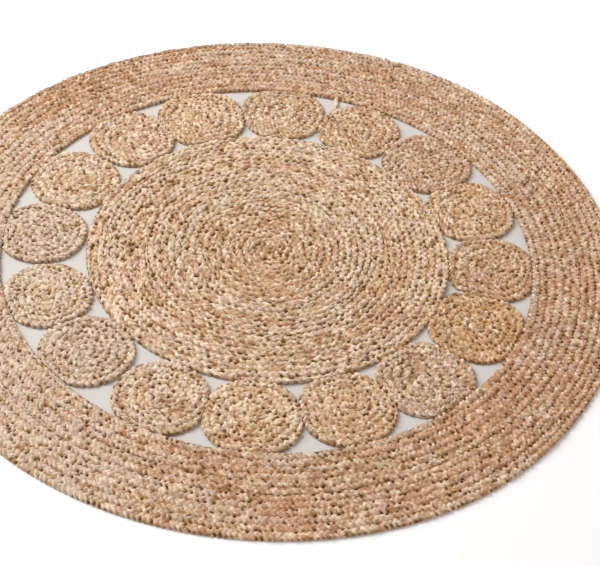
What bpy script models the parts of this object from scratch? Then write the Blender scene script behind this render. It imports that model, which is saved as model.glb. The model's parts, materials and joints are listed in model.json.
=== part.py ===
"""Round jute rug: a braided centre disc, a ring of sixteen small braided medallions and a braided border.

Each piece is a braid wound flat and sewn round by round, so its top is a set of round ridges and its
underside is flat. The medallions were wound as discs and then pressed between their neighbours, so
their outlines are rounded off towards the open corners and straight where pieces meet.

Metres, +Z up. The rug lies on the plane z = 0 with its centre at the origin. +Y is the far side.
"""

import math
from collections import namedtuple

import bpy
from mathutils import Matrix, Vector

# Driving dimensions
RUG_RADIUS = 0.600
BORDER_INNER_RADIUS = 0.4425
DISC_RADIUS = 0.3025
RING_RADIUS = 0.3725  # the circle that the medallions' centres lie on
THICKNESS = 0.009
GROOVE_DEPTH = 0.0026  # of the seam between two rounds of braid, below their crests
RIM_ROUNDING = 0.0011  # how far a rim's shoulder and foot stand back from its widest line
RIM_SHOULDER = 0.78  # the shoulder's height as a share of the thickness
RIM_WAIST = 0.45  # the widest line's height as a share of the thickness
SEAM_GAP = 0.0004  # clear space between two pieces that are sewn edge to edge

BORDER_ROUNDS = 12
DISC_ROUNDS = 27
MEDALLION_ROUNDS = 6

BORDER_SIDES = 60
DISC_SIDES = 40
MEDALLION_SIDES = 20

# How sharply a pressed medallion turns from a straight seam into its free corner
PRESS_SHARPNESS = 32
# Inner rounds keep their round shape, and outer ones take up the pressed outline
PRESS_SPREAD = 2

FIRST_MEDALLION_DEGREES = 90.0
LEAST_SLANT = 0.05  # a direction nearer than this to a seam's own line never meets it
MERGE_DISTANCE = 0.00005  # between points that are one point in a turned piece
RUG_COLOR = (0.56, 0.37, 0.20, 1.0)
RUG_ROUGHNESS = 0.9

Medallion = namedtuple("Medallion", "turn_degrees outward across color")

# Clockwise from the far side. turn_degrees is anticlockwise from even spacing, outward is how far the
# centre lies outside the ring's circle, and across is the diameter before pressing.
MEDALLIONS = (
    Medallion(0.0, 0.003, 0.1555, (0.60, 0.42, 0.25, 1.0)),
    Medallion(-0.1, -0.005, 0.1505, (0.56, 0.36, 0.20, 1.0)),
    Medallion(-0.5, 0.000, 0.1605, (0.51, 0.34, 0.21, 1.0)),
    Medallion(-0.2, -0.004, 0.1555, (0.58, 0.37, 0.22, 1.0)),
    Medallion(-0.7, 0.001, 0.1580, (0.56, 0.37, 0.23, 1.0)),
    Medallion(0.2, 0.001, 0.1620, (0.55, 0.35, 0.19, 1.0)),
    Medallion(-0.4, 0.002, 0.1585, (0.50, 0.34, 0.23, 1.0)),
    Medallion(0.4, -0.002, 0.1535, (0.62, 0.44, 0.27, 1.0)),
    Medallion(0.3, 0.001, 0.1570, (0.60, 0.41, 0.24, 1.0)),
    Medallion(0.8, 0.003, 0.1520, (0.61, 0.42, 0.25, 1.0)),
    Medallion(-0.2, 0.001, 0.1510, (0.53, 0.37, 0.25, 1.0)),
    Medallion(0.8, 0.004, 0.1465, (0.63, 0.45, 0.29, 1.0)),
    Medallion(0.2, 0.007, 0.1485, (0.55, 0.38, 0.26, 1.0)),
    Medallion(0.6, 0.001, 0.1545, (0.60, 0.42, 0.26, 1.0)),
    Medallion(-0.3, 0.002, 0.1540, (0.58, 0.38, 0.23, 1.0)),
    Medallion(0.7, 0.000, 0.1625, (0.59, 0.40, 0.24, 1.0)),
)


def clear_scene():
    """Takes out every object that the scene starts with."""
    for existing in list(bpy.data.objects):
        bpy.data.objects.remove(existing, do_unlink=True)


def jute(name, color):
    """A dull, dry fibre finish in the piece's own tone."""
    material = bpy.data.materials.new(name)
    material.use_nodes = True
    shader = material.node_tree.nodes["Principled BSDF"]
    shader.inputs["Base Color"].default_value = color
    shader.inputs["Roughness"].default_value = RUG_ROUGHNESS
    shader.inputs["Metallic"].default_value = 0.0
    return material


def ridges(inner, outer, rounds):
    """Points (radius, height) over the top, crest and groove by turns, from the first crest to the last."""
    pitch = (outer - inner) / rounds
    points = []
    for k in range(rounds):
        points.append((inner + (k + 0.5) * pitch, THICKNESS))
        if k < rounds - 1:
            points.append((inner + (k + 1) * pitch, THICKNESS - GROOVE_DEPTH))
    return points


def rim(radius, outward):
    """The side of a piece from top to bottom: rounded in at the shoulder, widest at mid height, flat foot."""
    back = radius - RIM_ROUNDING * outward
    return [(back, THICKNESS * RIM_SHOULDER), (radius, THICKNESS * RIM_WAIST), (back, 0.0)]


def turned(name, profile, sides, closed):
    """A mesh object turned from a profile in the XZ plane, which runs down the outer side."""
    mesh = bpy.data.meshes.new(name)
    edges = [(k, k + 1) for k in range(len(profile) - 1)]
    if closed:
        edges.append((len(profile) - 1, 0))
    mesh.from_pydata([(radius, 0.0, height) for radius, height in profile], edges, [])
    piece = bpy.data.objects.new(name, mesh)
    bpy.context.scene.collection.objects.link(piece)
    screw = piece.modifiers.new("Turned", "SCREW")
    screw.axis = "Z"
    screw.steps = sides
    screw.render_steps = sides
    screw.use_merge_vertices = True
    screw.merge_threshold = MERGE_DISTANCE
    screw.use_smooth_shade = True
    return piece


def coiled_disc(name, radius, rounds, sides):
    """A braid wound from the centre outwards, as a solid with ridged rounds on top."""
    profile = [(0.0, THICKNESS - GROOVE_DEPTH), *ridges(0.0, radius, rounds), *rim(radius, 1), (0.0, 0.0)]
    return turned(name, profile, sides, closed=False)


def coiled_ring(name, inner, outer, rounds, sides):
    """A braid wound round an open middle, as a solid with ridged rounds on top."""
    profile = [*ridges(inner, outer, rounds), *rim(outer, 1), *reversed(rim(inner, -1))]
    return turned(name, profile, sides, closed=True)


def bearing(index):
    """The angle of a medallion's centre about the rug's, in radians."""
    spacing = 360.0 / len(MEDALLIONS)
    return math.radians(FIRST_MEDALLION_DEGREES - index * spacing + MEDALLIONS[index].turn_degrees)


def centre(index):
    """Where a medallion's centre lies."""
    angle = bearing(index)
    distance = RING_RADIUS + MEDALLIONS[index].outward
    return Vector((distance * math.cos(angle), distance * math.sin(angle), 0.0))


def seam_reach(index, other, direction):
    """How far a medallion reaches along a direction before the seam that it shares with a neighbour."""
    apart = centre(other) - centre(index)
    distance = apart.length
    mine, theirs = MEDALLIONS[index].across / 2, MEDALLIONS[other].across / 2
    to_seam = (distance**2 + mine**2 - theirs**2) / (2 * distance) - SEAM_GAP / 2
    towards = direction.dot(apart / distance)
    return to_seam / towards if towards > LEAST_SLANT else math.inf


def circle_reach(index, direction, radius, side):
    """How far a medallion reaches along a direction before a circle about the rug's centre."""
    along = centre(index).dot(direction)
    under_root = along**2 - centre(index).length_squared + radius**2
    if under_root <= 0:
        return math.inf
    reach = -along + side * math.sqrt(under_root)
    return reach if reach > 0 else math.inf


def pressed_radius(index, direction):
    """The outline of a medallion: its own round edge, cut off softly by the four pieces beside it."""
    count = len(MEDALLIONS)
    border_flat = BORDER_INNER_RADIUS * math.cos(math.pi / BORDER_SIDES)
    reaches = [
        MEDALLIONS[index].across / 2,
        seam_reach(index, (index + 1) % count, direction),
        seam_reach(index, (index - 1) % count, direction),
        circle_reach(index, direction, border_flat - SEAM_GAP, 1),
        circle_reach(index, direction, DISC_RADIUS + SEAM_GAP, -1),
    ]
    return sum(reach**-PRESS_SHARPNESS for reach in reaches) ** (-1 / PRESS_SHARPNESS)


def press(piece, index):
    """Draws in a turned medallion's points to its pressed outline, the outer rounds most."""
    free = MEDALLIONS[index].across / 2
    turn = Matrix.Rotation(bearing(index), 3, "Z")
    for vertex in piece.data.vertices:
        place = vertex.co
        radius = math.hypot(place.x, place.y)
        if radius == 0.0:
            continue
        direction = turn @ Vector((place.x / radius, place.y / radius, 0.0))
        squeeze = pressed_radius(index, direction) / free
        share = min(radius / free, 1.0) ** PRESS_SPREAD
        factor = 1.0 + (squeeze - 1.0) * share
        vertex.co = Vector((place.x * factor, place.y * factor, place.z))


def work_in(piece):
    """Works a piece's modifiers into its mesh, so that its points can be moved."""
    graph = bpy.context.evaluated_depsgraph_get()
    mesh = bpy.data.meshes.new_from_object(piece.evaluated_get(graph))
    piece.modifiers.clear()
    piece.data = mesh


def medallion(index):
    """One small coiled disc, pressed and set in its place in the ring, +X of its own outwards."""
    name = f"medallion_{index + 1:02d}"
    piece = coiled_disc(name, MEDALLIONS[index].across / 2, MEDALLION_ROUNDS, MEDALLION_SIDES)
    work_in(piece)
    press(piece, index)
    piece.location = centre(index)
    piece.rotation_euler.z = bearing(index)
    return piece


def finish(piece, color, collection):
    """Shades a piece smooth, gives it its own material and moves it to the rug's collection."""
    piece.data.shade_smooth()
    piece.data.materials.append(jute(piece.name + "_jute", color))
    for holder in list(piece.users_collection):
        holder.objects.unlink(piece)
    collection.objects.link(piece)


def main():
    """Builds the disc, the medallions and the border."""
    clear_scene()
    collection = bpy.data.collections.new("round_jute_rug")
    bpy.context.scene.collection.children.link(collection)
    disc = coiled_disc("centre_disc", DISC_RADIUS, DISC_ROUNDS, DISC_SIDES)
    finish(disc, RUG_COLOR, collection)
    for index, row in enumerate(MEDALLIONS):
        finish(medallion(index), row.color, collection)
    border = coiled_ring("border", BORDER_INNER_RADIUS, RUG_RADIUS, BORDER_ROUNDS, BORDER_SIDES)
    finish(border, RUG_COLOR, collection)


main()
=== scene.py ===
"""Round jute rug, dressed: every piece wound from three-strand braid, on a pale floor in soft studio light.

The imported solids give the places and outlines. Each is replaced by a coil of real braid: the top is a
height field of the plait, three strands swinging over and under each other, the rim is rounded and
scalloped by the strands, and the underside is flat. Metres, +Z up, +Y towards the far side.
"""

import json
import logging
import math
from dataclasses import dataclass, field
from enum import Enum, IntEnum
from typing import NamedTuple

import bpy
import numpy as np
from mathutils import Matrix, Vector

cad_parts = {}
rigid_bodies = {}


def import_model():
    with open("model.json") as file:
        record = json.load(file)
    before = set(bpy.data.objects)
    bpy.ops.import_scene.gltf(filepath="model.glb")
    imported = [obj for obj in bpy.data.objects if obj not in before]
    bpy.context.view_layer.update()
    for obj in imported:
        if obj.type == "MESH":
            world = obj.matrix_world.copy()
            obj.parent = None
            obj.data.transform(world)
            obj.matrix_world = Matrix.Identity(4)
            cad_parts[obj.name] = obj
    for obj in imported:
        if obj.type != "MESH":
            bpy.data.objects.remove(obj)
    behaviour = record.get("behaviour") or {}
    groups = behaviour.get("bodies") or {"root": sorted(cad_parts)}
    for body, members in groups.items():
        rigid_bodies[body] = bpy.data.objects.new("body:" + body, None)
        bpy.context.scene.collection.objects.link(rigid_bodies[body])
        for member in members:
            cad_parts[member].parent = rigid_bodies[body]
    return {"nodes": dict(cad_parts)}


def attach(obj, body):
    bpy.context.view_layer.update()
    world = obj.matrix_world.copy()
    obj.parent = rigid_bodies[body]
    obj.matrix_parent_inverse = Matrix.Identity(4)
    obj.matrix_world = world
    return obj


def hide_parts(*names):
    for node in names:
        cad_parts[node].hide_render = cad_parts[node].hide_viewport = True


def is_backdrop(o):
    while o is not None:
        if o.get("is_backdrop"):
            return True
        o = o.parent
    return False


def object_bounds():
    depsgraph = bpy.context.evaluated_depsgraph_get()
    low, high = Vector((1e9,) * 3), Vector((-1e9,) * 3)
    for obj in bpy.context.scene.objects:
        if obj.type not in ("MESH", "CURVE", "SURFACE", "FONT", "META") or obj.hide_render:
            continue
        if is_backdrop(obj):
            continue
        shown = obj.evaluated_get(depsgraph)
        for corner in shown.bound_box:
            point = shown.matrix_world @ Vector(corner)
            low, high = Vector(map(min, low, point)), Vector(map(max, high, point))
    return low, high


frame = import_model()
CAD_LOW, CAD_HIGH = (tuple(corner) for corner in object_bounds())

LOG = logging.getLogger("round_jute_rug")
BAKE_MAP = "OFBake"  # the name of the map that the materials are baked to
THICKNESS = CAD_HIGH[2] - CAD_LOW[2]
TURN = 2 * math.pi
STRANDS = 3  # in a braid

Socket = bpy.types.NodeSocket
Input = Socket | float | tuple[float, float, float]  # what a material's node takes

# Lengths between points of the mesh, along the braid
TOP_STEP = 0.00165
BORDER_STEP = 0.0021
UNDER_STEP = 0.009
LEAST_COLUMNS = 12  # of points, in any length of braid
FINE_STEPS = 720  # of a round, while its length is measured

# Rows of points across one braid, as shares of its width from its middle
TOP_ROWS = (-0.46, -0.36, -0.23, -0.08, 0.08, 0.23, 0.36, 0.46)
UNDER_ROWS = (-0.34, 0.34)

STEP_OVER = 0.15  # of a turn, in which a round steps outwards by one braid's width
LEAST_WIDTH = 0.06  # a braid's end, as a share of its full width
FULL_FROM = 0.7  # of its full width, from where the braid has its full relief
END_RELIEF = 0.4  # of the full relief, at a braid's end
SETTLING_ROUNDS = 3.0  # from a stepped round at a coil's ends to an even spiral inside
SHORT_COIL = 8  # a coil of fewer rounds is stepped throughout
CALM_TURNS = 0.5  # over which a coil's ends take up its unevenness

WOBBLE = 0.07  # how unevenly the rounds lie, as a share of the braid's width
LOBES = (2, 3, 5, 7)  # that the wobble makes in one turn
LOBE_SHIFT = 1.3  # radians at most, from one round's lobes to the next round's
CHANCES = 3072  # random numbers of each kind in a coil
APART = 389  # between the random numbers that one part of an unevenness uses and the next
MEAN_CUBE = 0.25  # of random numbers from 0 to 1

LEAST_SIDE = 0.1  # radians between two corners of a packed medallion
RIM_CORNERS = 0.8  # of a packed medallion's radius: only the corners of its rim lie further out

SEWN_WITHIN = 0.0016  # metres between two outlines, where the pieces are sewn together
SEWN_FADE = 0.0030  # further metres, over which a rim comes free of its neighbour
JOIN_BULGE = -0.0001  # metres, of the strands where two lengths of braid meet
TIP_ORDER = 0.001  # keeps the points across a braid's end in order among those along it

# Heights as the material sees them, as shares of the thickness: low ones get painted shade
CLEAR_OF_SHADE = 0.9  # of the underside and of loose fibre
MIDDLE_RAISED = 0.6  # of a disc's middle
RIM_RAISED = 0.36  # of a free rim's hollows
RIM_BULGE_RAISED = 0.36  # more, of its bulges
RIM_FOOT_SUNK = 0.06  # less, at its foot
RIM_MIDDLE = 0.5  # where the rim's own line lies between its hollows, at 0, and its bulges, at 1

# Of the thickness: how far a rim reaches down beside the top on the bake's map, and the room kept for it
RIM_ON_MAP = 1.2
RIM_ROOM = 1.3


class RimStep(NamedTuple):
    """One line of points down a rim, below the top's edge."""

    out: float  # as a share of the strip outside the top's last row
    bulge: float  # of the strands, as a share of the whole bulge
    free_height: float  # as a share of the top's, where the rim is free
    sewn_height: float  # as a share of the top's, where it is sewn to another piece


RIM_STEPS = (RimStep(1.0, 1.0, 0.60, 0.94), RimStep(0.8, 0.7, 0.25, 0.50), RimStep(-0.4, 0.0, 0.0, 0.0))


class MapPart(NamedTuple):
    """A round part of the bake's map."""

    middle: float  # in both directions
    reach: float


RING_MAP = MapPart(0.5, 0.49)
DISC_TOP_MAP = MapPart(0.425, 0.415)
DISC_UNDER_MAP = MapPart(0.83, 0.155)


class Swell(NamedTuple):
    """One part of an unevenness: how much it is, and the length of braid between one change and the next."""

    size: float
    length: float


# Hand braiding is uneven in these ways. The plait's and the edge's sizes are shares of the braid's width.
CREEP = (Swell(0.006, 0.45), Swell(0.003, 0.19), Swell(0.0018, 0.060), Swell(0.0012, 0.027))  # of stitches
DRIFT = (Swell(0.060, 0.080), Swell(0.070, 0.029))  # of the plait to one side
BREADTH = (Swell(0.080, 0.060), Swell(0.060, 0.023))  # of the plait
EDGE = (Swell(0.060, 0.110), Swell(0.045, 0.043))  # of the line between rounds
BLOTCH = (Swell(0.17, 0.210), Swell(0.10, 0.064), Swell(0.14, 0.023))  # of the jute's paleness
BLUSH = (Swell(0.45, 0.170), Swell(0.45, 0.050))  # of the jute's warmth


class Chance(IntEnum):
    """What each column of a coil's random numbers is for."""

    SIZE = 0
    PLACE = 1
    HEIGHT = 2
    PIT = 3
    CREEP = 4
    DRIFT = 5
    BREADTH = 6
    EDGE = 7
    PALENESS = 8
    WARMTH = 9


def smooth(value: np.ndarray) -> np.ndarray:
    """A soft step from 0 to 1 as the value goes from 0 to 1."""
    held = np.clip(value, 0.0, 1.0)
    return held * held * (3.0 - 2.0 * held)


def meander(place: np.ndarray, chance: np.ndarray) -> np.ndarray:
    """Smooth random numbers along a line.

    Args:
        place: Places along the line, with a new number at each whole one.
        chance: Numbers from 0 to 1 that they are made from.

    Returns:
        Numbers from -1 to 1.
    """
    whole = np.floor(place).astype(int)
    here, there = (chance[(whole + step) % len(chance)] for step in (0, 1))
    return 2.0 * (here + (there - here) * smooth(place - whole)) - 1.0


def lace(first: np.ndarray, first_at: np.ndarray, second: np.ndarray, second_at: np.ndarray) -> np.ndarray:
    """Joins two lines of points that run side by side with triangles.

    Args:
        first: Point numbers of the line on the left.
        first_at: How far along each of them lies, rising.
        second: Point numbers of the line on the right.
        second_at: How far along each of those lies, rising.

    Returns:
        Three point numbers for each triangle.
    """
    beside = np.searchsorted(second_at[1:], first_at[1:], side="left")
    forward = np.stack([first[:-1], first[1:], second[beside]], axis=1)
    beside = np.searchsorted(first_at[1:], second_at[1:], side="right")
    back = np.stack([second[1:], second[:-1], first[beside]], axis=1)
    return np.concatenate([forward, back])


def node_points(name: str) -> np.ndarray:
    """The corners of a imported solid, one row each, in metres."""
    mesh = frame["nodes"][name].data
    points = np.empty(len(mesh.vertices) * 3)
    mesh.vertices.foreach_get("co", points)
    return points.reshape(-1, 3)


def node_radii(name: str) -> np.ndarray:
    """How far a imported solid's corners lie from the rug's middle, seen from above."""
    return np.hypot(*node_points(name)[:, :2].T)


# ---------------------------------------------------------------- finishes


@dataclass(frozen=True)
class JuteFinish:
    """One batch of jute: its slot in the record, its fibre's colours and the colour of its painted shade in
    linear light, and its shine.
    """

    slot: str
    middle: tuple[float, float, float]
    pale: tuple[float, float, float]
    deep: tuple[float, float, float]
    warm: tuple[float, float, float]
    straw: tuple[float, float, float] = (0.65, 0.47, 0.26)
    rosy: tuple[float, float, float] = (0.60, 0.39, 0.29)
    grey: tuple[float, float, float] = (0.62, 0.48, 0.36)
    # the colour of the shade painted in creases and hollows
    hollow: tuple[float, float, float] = (0.135, 0.056, 0.010)
    roughness: float = 0.88
    specular: float = 0.25
    sheen: float = 0.15
    sheen_roughness: float = 0.6


class JuteTone(Enum):
    """The batches of jute that the rug is wound from."""

    DISC = JuteFinish(
        "disc_jute", middle=(0.61, 0.43, 0.275), pale=(0.93, 0.74, 0.56),
        deep=(0.39, 0.20, 0.07), warm=(0.60, 0.36, 0.19),
    )
    BORDER = JuteFinish(
        "border_jute", middle=(0.57, 0.39, 0.25), pale=(0.89, 0.69, 0.52),
        deep=(0.37, 0.175, 0.06), warm=(0.58, 0.29, 0.15), straw=(0.62, 0.44, 0.26),
    )
    STRAW = JuteFinish(
        "straw_jute", middle=(0.64, 0.46, 0.295), pale=(0.95, 0.78, 0.60),
        deep=(0.41, 0.22, 0.08), warm=(0.62, 0.38, 0.20),
    )
    GOLDEN = JuteFinish(
        "golden_jute", middle=(0.61, 0.41, 0.23), pale=(0.91, 0.73, 0.52),
        deep=(0.39, 0.19, 0.06), warm=(0.61, 0.33, 0.15),
    )
    TAN = JuteFinish(
        "tan_jute", middle=(0.60, 0.42, 0.265), pale=(0.91, 0.73, 0.56),
        deep=(0.38, 0.19, 0.07), warm=(0.59, 0.34, 0.19),
    )
    BROWN = JuteFinish(
        "brown_jute", middle=(0.59, 0.42, 0.285), pale=(0.89, 0.72, 0.56),
        deep=(0.36, 0.19, 0.08), warm=(0.56, 0.34, 0.20),
    )


class Span(NamedTuple):
    """A soft step, from start to end as a value goes from low to high."""

    low: float
    high: float
    start: float = 0.0
    end: float = 1.0


class Noise(NamedTuple):
    """Soft noise: how many times it changes in a metre, and how many finer layers it has."""

    scale: float
    detail: float = 2.0


class DrawnNoise(NamedTuple):
    """Noise drawn out along the braid."""

    along: float  # changes for each period of the plait
    across: float  # changes for each width of the braid
    detail: float = 2.0
    seed: float = 0.0  # sets it apart from other noise in the same material


@dataclass(frozen=True)
class JuteGrain:
    """How the fibre changes from place to place, and how much shade is painted in its creases and hollows.

    A span turns noise, or how the braid lies, into a change of the fibre's paleness, which runs from -1 to
    1, or into the share that one of the finish's colours takes.
    """

    # Fibre lies along the strand, in fine streaks and in bundles a third of its width
    streaks: DrawnNoise = DrawnNoise(2.2, 34.0, detail=3.0)
    bundles: DrawnNoise = DrawnNoise(3.4, 11.0, seed=7.0)

    # Paleness, of whole floats, of long runs of a strand, and from spot to spot
    float_tone: Span = Span(0.0, 1.0, -0.50, 0.35)
    rare_power: float = 6.0  # makes only a few floats much paler than the rest
    rare_tone: float = 0.5
    run: DrawnNoise = DrawnNoise(0.16, 5.0)
    run_tone: Span = Span(0.3, 0.7, -0.08, 0.08)
    mottle: Noise = Noise(70.0)
    mottle_tone: Span = Span(0.3, 0.7, -0.75, 0.75)

    # Hues, in the order that they are laid on
    hue: Noise = Noise(42.0)
    straw: Span = Span(0.50, 0.66, 0.0, 0.7)
    rosy: Span = Span(0.34, 0.50, 0.75, 0.0)
    patches: Noise = Noise(7.0, detail=3.0)
    patch_warmth: float = 0.16  # how far a warm length of braid widens its warm patches
    warm: Span = Span(0.48, 0.72, 0.0, 0.75)
    # Greyer where the warmth is low: partly the fibre's own hue and partly a painted haze of reflected light
    grey: Span = Span(-1.3, 0.1, 0.85, 0.0)
    deep_streaks: Span = Span(0.3, 0.7, 0.10, 0.0)
    pale_bundles: Span = Span(0.50, 0.75, 0.0, 0.30)
    specks: Noise = Noise(115.0, detail=1.0)
    pale_specks: Span = Span(0.54, 0.70, 0.0, 0.75)
    deep_specks: Span = Span(0.28, 0.40, 0.6, 0.0)

    # Painted shade in creases and hollows: how much each float takes, and how it changes from spot to spot
    shade_seed: float = 0.5
    shade_power: float = 2.0  # leaves most floats with little painted shade
    float_shade: float = 0.5
    least_shade: float = 0.1
    spots: Noise = Noise(105.0)
    spot_shade: Span = Span(0.46, 0.58)

    # Shade, by how clear the top strand lies of the next one, or by the height
    crease: Span = Span(0.05, 0.24, 0.48, 0.0)
    sunk: Span = Span(0.50, 0.74, 1.0, 0.0)
    least_sunk: float = 0.2
    hollow: Span = Span(0.28, 0.54, 1.0, 0.0)

    streak_relief: float = 0.45  # beside the bundles' relief, which is 1
    relief: float = 0.0008  # metres
    relief_strength: float = 0.25


class MixKind(Enum):
    """What a Mix node mixes, with the numbers of the two inputs and the output that it has for that."""

    VECTOR = ("VECTOR", 4, 5, 1)
    COLOUR = ("RGBA", 6, 7, 2)


class Wiring:
    """Lays and joins the nodes of one material, so that a formula reads as lines of code."""

    def __init__(self, tree: bpy.types.NodeTree) -> None:
        """Keeps the tree that the nodes go into."""
        self.tree = tree

    def node(
        self, kind: str, inputs: dict[str | int, Input] | None = None, **settings: str | bool
    ) -> bpy.types.Node:
        """Adds a node.

        Args:
            kind: The node's type, as Blender names it.
            inputs: Values or output sockets, by the name or number of the input.
            **settings: Values for the node's own properties.

        Returns:
            The new node.
        """
        made = self.tree.nodes.new(kind)
        for name, value in settings.items():
            setattr(made, name, value)
        for place, value in (inputs or {}).items():
            if isinstance(value, Socket):
                self.tree.links.new(value, made.inputs[place])
            else:
                made.inputs[place].default_value = value
        return made

    def math(self, operation: str, *values: Input, clamp: bool = False) -> Socket:
        """The output of a Math node on one to three numbers or sockets."""
        inputs = dict(enumerate(values))
        return self.node("ShaderNodeMath", inputs, operation=operation, use_clamp=clamp).outputs[0]

    def vector(self, x: Input, y: Input, z: Input = 0.0) -> Socket:
        """Three numbers or sockets as one vector."""
        return self.node("ShaderNodeCombineXYZ", {0: x, 1: y, 2: z}).outputs[0]

    def parts(self, vector: Socket) -> tuple[Socket, ...]:
        """The three numbers of a vector."""
        return tuple(self.node("ShaderNodeSeparateXYZ", {0: vector}).outputs)

    def chance(self, vector: Socket) -> Socket:
        """A number from 0 to 1 that is the same wherever the vector is."""
        return self.node("ShaderNodeTexWhiteNoise", {"Vector": vector}).outputs["Value"]

    def mix(self, kind: MixKind, share: Socket, first: Input, second: Input) -> Socket:
        """The first value where the share is 0 and the second where it is 1, mixed in between."""
        data_type, first_input, second_input, output = kind.value
        inputs = {"Factor": share, first_input: first, second_input: second}
        return self.node("ShaderNodeMix", inputs, data_type=data_type).outputs[output]

    def colour(self, share: Socket, first: Input, second: Input) -> Socket:
        """Two colours mixed by a share, each a tuple of three numbers or a socket."""
        first, second = ((*c, 1.0) if isinstance(c, tuple) else c for c in (first, second))
        return self.mix(MixKind.COLOUR, share, first, second)

    def span(self, value: Socket, span: Span) -> Socket:
        """The value put through a soft step."""
        inputs = {"Value": value, **dict(zip(("From Min", "From Max", "To Min", "To Max"), span))}
        return self.node("ShaderNodeMapRange", inputs, interpolation_type="SMOOTHSTEP").outputs[0]

    def noise(self, place: Socket, noise: Noise) -> Socket:
        """Soft noise from 0 to 1 at a place."""
        inputs = {"Vector": place, "Scale": noise.scale, "Detail": noise.detail}
        return self.node("ShaderNodeTexNoise", inputs).outputs[0]


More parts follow.
